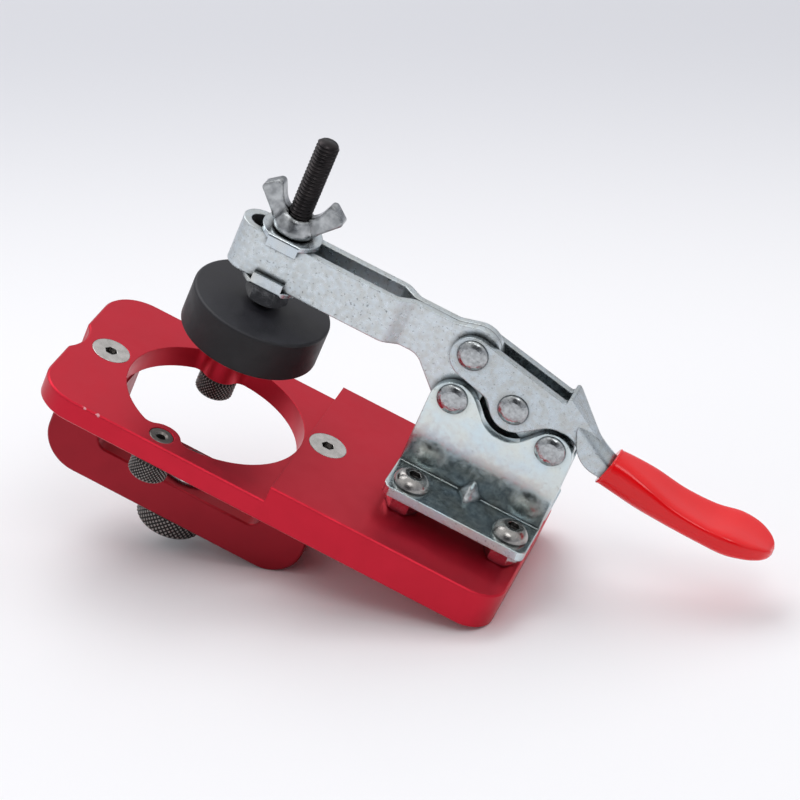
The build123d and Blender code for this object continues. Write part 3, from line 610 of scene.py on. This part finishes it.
# %% Gussets in the fold
gusset_x, wall_face, flange_top = 67.8, 4.7, 11.7
gusset_corners = [(-3.25, 0.0, 0.0), (3.25, 0.0, 0.0), (0.0, 5.7, 0.0), (0.0, 0.0, 4.1),
                  (0.0, -0.3, -0.3)]
for label, side in (("near", -1), ("far", 1)):
    grid = bmesh.new()
    left, right, toe, top, root = [
        grid.verts.new(place(gusset_x + x, spindle_axis[1] + side * (wall_face + y), flange_top + z))
        for x, y, z in gusset_corners]
    for three in ((left, toe, top), (right, top, toe), (left, top, root), (right, root, top),
                  (left, root, toe), (right, toe, root)):
        grid.faces.new(three)
    bmesh.ops.recalc_face_normals(grid, faces=grid.faces)
    ridge_edge = grid.edges.get((toe, top))
    bmesh.ops.bevel(grid, geom=[ridge_edge], offset=0.0009, segments=5, profile=0.5, affect="EDGES")
    finish_piece(piece_from(f"gusset_{label}", grid), cast_zinc, "jig", smooth_below=50)

# %% [markdown]
# The grip was made by dipping, so it is one soft form: round at the mouth, with a small bead where
# the vinyl gathered, and flatter towards the tip, where a crease parts the thumb face from the
# sides. A subdivided box would round the crease away, so the grip is lofted instead. Each section
# below gives the place along the plate, the height, the half width, the half height and the tilt in
# degrees. The rings between them follow a smooth curve through the sections.

# %% Sections of the grip
sections = [(95.4, 34.7, 4.9, 4.9, 14), (100.0, 34.2, 5.3, 4.9, 10), (106.6, 33.4, 6.2, 4.6, 5),
            (115.0, 32.5, 6.8, 3.7, 0), (123.4, 32.4, 7.4, 3.4, 0), (130.0, 33.1, 8.2, 3.7, 0),
            (135.0, 33.7, 7.4, 3.1, 0), (138.4, 33.9, 5.4, 2.4, 0), (140.3, 34.0, 3.2, 1.6, 0),
            (141.1, 34.0, 1.2, 0.6, 0)]


def between(share):
    """The section at a share of the way from the mouth to the tip, on a curve through them all."""
    last = len(sections) - 1
    i = min(int(share * last), last - 1)
    t = share * last - i
    neighbours = [sections[min(max(k, 0), last)] for k in range(i - 1, i + 3)]
    return [q + 0.5 * t * (r - p + t * (2 * p - 5 * q + 4 * r - s + t * (3 * (q - r) + s - p)))
            for p, q, r, s in zip(*neighbours)]


print("the grip's widest section is", 2 * max(section[2] for section in sections), "mm wide")

# %% [markdown]
# A ring of the grip is an ellipse whose upper half is squared off, which is what makes the crease.
# The squaring grows from the mouth towards the tip, and so does the shallow hollow for the thumb.
# Each ring is given by its share of the way to the tip and by its swell. The rings listed as the
# mouth make the bead there.

# %% Dipped grip
points_round_grip, hollow_depth = 72, 0.5


def grip_ring(share, swell):
    """One ring of points; the upper half grows squarer towards the tip, with a shallow hollow."""
    x, z, half_width, half_height, tilt = between(share)
    flat = min(1.0, 2.2 * share)
    ring = []
    for step in range(points_round_grip):
        angle = 2 * pi * step / points_round_grip
        power = 2.2 + (4.0 * flat if sin(angle) > 0 else 0.0)
        across = abs(cos(angle)) ** (2 / power) * (1 if cos(angle) > 0 else -1)
        up = abs(sin(angle)) ** (2 / power) * (1 if sin(angle) > 0 else -1)
        hollow = hollow_depth * flat * (1 - across * across) ** 2 if up > 0 else 0.0
        u = swell * half_width * across
        v = swell * half_height * up - hollow * min(1.0, half_height / 3)
        ring.append(place(x + v * sin(radians(tilt)), spindle_axis[1] + u, z + v * cos(radians(tilt))))
    return ring


grip_rings = 90
mouth = [(0.006, 0.66), (0.001, 0.72), (0.0, 0.90), (0.004, 1.03), (0.012, 1.045), (0.020, 1.02)]
length_rings = [(0.03 + 0.97 * i / grip_rings, 1.0) for i in range(grip_rings + 1)]
grid = bmesh.new()
rows = [[grid.verts.new(point) for point in grip_ring(share, swell)]
        for share, swell in mouth + length_rings]
join_rings(grid, rows, False)
finish_piece(piece_from("dipped_grip", grid), vinyl, "handle_body", "grip", 75)

# %% [markdown]
# The object stands on a sheet of white paper that runs out of sight and gets less light towards
# the back. The fading is in the paper's colour, so the lamps can stay even on the object. The paper
# keeps the soft shadow, and it isn't part of the object.

# %% Floor
half_size = 4
corners = [(half_size * x, half_size * y, 0) for x, y in ((-1, -1), (1, -1), (1, 1), (-1, 1))]
floor_mesh = bpy.data.meshes.new("table_top")
floor_mesh.from_pydata(corners, [], [(0, 1, 2, 3)])
floor = bpy.data.objects.new("table_top", floor_mesh)
bpy.context.collection.objects.link(floor)
paper = bpy.data.materials.new("white paper, sweep")
paper.use_nodes = True
tree = paper.node_tree
shader = tree.nodes["Principled BSDF"]
shader.inputs["Specular IOR Level"].default_value = 0.3
shader.inputs["Roughness"].default_value = 0.6
spread = add(tree, "ShaderNodeTexCoord", "Object", {})
backwards = add(tree, "ShaderNodeVectorMath", "Value", {0: spread, 1: (-0.25, 0.97, 0)},
                operation="DOT_PRODUCT")
away = add(tree, "ShaderNodeMapRange", 0, {0: backwards, 1: 0.10, 2: 0.42},
           interpolation_type="SMOOTHSTEP")
tone = add(tree, "ShaderNodeMix", 2, {0: away, 6: linear("#F4F4F7"), 7: linear("#D2D3D9")},
           data_type="RGBA")
tree.links.new(tone, shader.inputs["Base Color"])
floor.data.materials.append(paper)
print("table top at height", floor.location.z)

# %% [markdown]
# A white room fills the shadows. Bright metal only looks like metal when the room has something dark
# in it too. So the side of the room behind the photographer is left dim, as it is in a studio, and
# the top is the palest. A plain white world would leave the zinc looking like grey paint.

# %% Room light
world = bpy.data.worlds.new("white room")
bpy.context.scene.world = world
world.use_nodes = True
tree = world.node_tree
background = tree.nodes["Background"]
direction = add(tree, "ShaderNodeTexCoord", "Generated", {})
height = add(tree, "ShaderNodeSeparateXYZ", "Z", {"Vector": direction})
climb = add(tree, "ShaderNodeMapRange", 0, {0: height, 1: 0.0, 2: 0.75})
room = add(tree, "ShaderNodeMix", 2, {0: climb, 6: linear("#B9BBC2"), 7: linear("#FFFFFF")},
           data_type="RGBA")
dim_side = Vector((0.16, -0.86, 0.48)).normalized()
facing = add(tree, "ShaderNodeVectorMath", "Value", {0: direction, 1: dim_side},
             operation="DOT_PRODUCT")
dimming = add(tree, "ShaderNodeMapRange", 0, {0: facing, 1: 0.84, 2: 0.98})
room = add(tree, "ShaderNodeMix", 2, {0: dimming, 6: room, 7: linear("#3A3B40")},
           data_type="RGBA")
tree.links.new(room, background.inputs["Color"])
background.inputs["Strength"].default_value = 0.85
print("room light strength", background.inputs["Strength"].default_value)

# %% [markdown]
# One big soft lamp hangs over the left shoulder of the object and makes the soft shadow. A small one
# over its front draws the light lines on the edges that face the camera. Both are square soft boxes,
# so their reflections stay broad and even on the metal, which a bare lamp's wouldn't.

# %% Lamps
def soft_lamp(name, spot, target, width, watts):
    """A square soft lamp at spot that faces target, both in metres."""
    lamp = bpy.data.lights.new(name, "AREA")
    lamp.size = width
    lamp.energy = watts
    holder = bpy.data.objects.new(name, lamp)
    bpy.context.collection.objects.link(holder)
    holder.location = spot
    holder.rotation_euler = (Vector(target) - Vector(spot)).to_track_quat("-Z", "Y").to_euler()
    print(name, "gives", watts, "W")


soft_lamp("soft box above", (-0.45, 0.35, 1.1), (0.0, 0.0, 0.03), 0.9, 5.8)
soft_lamp("soft box over the front", (0.27, -0.45, 0.73), (0.0, 0.0, 0.05), 0.3, 0.85)

# %% [markdown]
# The camera was fitted to the plate, the hole and the clamp in the photograph. It looks down at
# about 26 degrees from a little to the right, with a long lens, so the picture is almost without
# perspective. Its axes were found along the plate, so the same lean takes them to the frame.

# %% Camera
camera_spot = place(107.108, -704.409, 451.027)
turn = Matrix.Rotation(lean, 3, "Y")
camera_right = turn @ Vector((0.88665111, 0.29610332, 0.35520788))
camera_up = turn @ Vector((-0.45567437, 0.42852384, 0.78021035))
camera_back = turn @ Vector((0.07880783, -0.85363349, 0.51487783))
picture_width, sensor_width, focal_pixels = 800, 36.0, 3319.39
camera_data = bpy.data.cameras.new("camera")
camera_data.sensor_width = sensor_width
camera_data.lens = focal_pixels / picture_width * sensor_width
camera_data.clip_start = 0.01
camera = bpy.data.objects.new("camera", camera_data)
bpy.context.collection.objects.link(camera)
axes = Matrix((camera_right, camera_up, camera_back)).transposed().to_4x4()
camera.matrix_world = Matrix.Translation(camera_spot) @ axes
bpy.context.scene.camera = camera
bpy.context.scene.view_settings.view_transform = "Standard"
print("camera", [round(v, 3) for v in camera_spot], "lens", round(camera_data.lens, 1))
